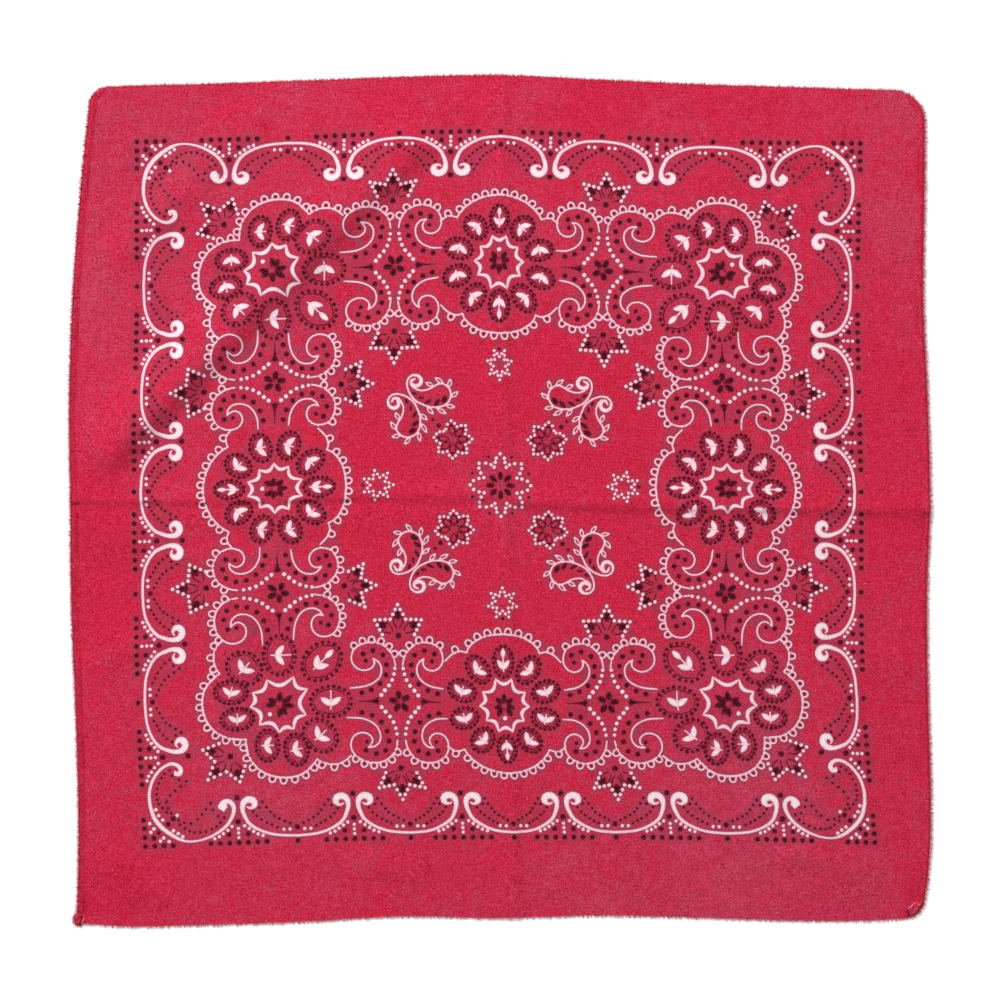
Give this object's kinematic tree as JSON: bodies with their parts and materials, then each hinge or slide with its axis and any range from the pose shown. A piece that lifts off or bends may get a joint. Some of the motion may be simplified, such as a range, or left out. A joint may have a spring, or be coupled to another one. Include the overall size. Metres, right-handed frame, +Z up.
{
  "type": "bandana",
  "caption": "Square printed cotton bandana lying flat, with two stitched side hems, two selvedges, pressed centre folds and a soft diagonal crease.",
  "frame": {"origin": "on the surface that the cloth lies on, under the middle of its outline", "axes": "+Z up off the surface, +X along the weft to the right hem, +Y along the warp to the upper selvedge"},
  "size_m": [0.529, 0.5228, 0.0052],
  "materials": {
    "printed_cotton": "matt plain-weave cotton, red with white and black print",
    "hem_cotton": "matt turned and stitched cotton"
  },
  "bodies": {
    "root": {"panel": "printed_cotton", "hem_left": "hem_cotton", "hem_right": "hem_cotton", "hem_end_left": "hem_cotton", "corner_fold_right": "hem_cotton"}
  },
  "joints": []
}
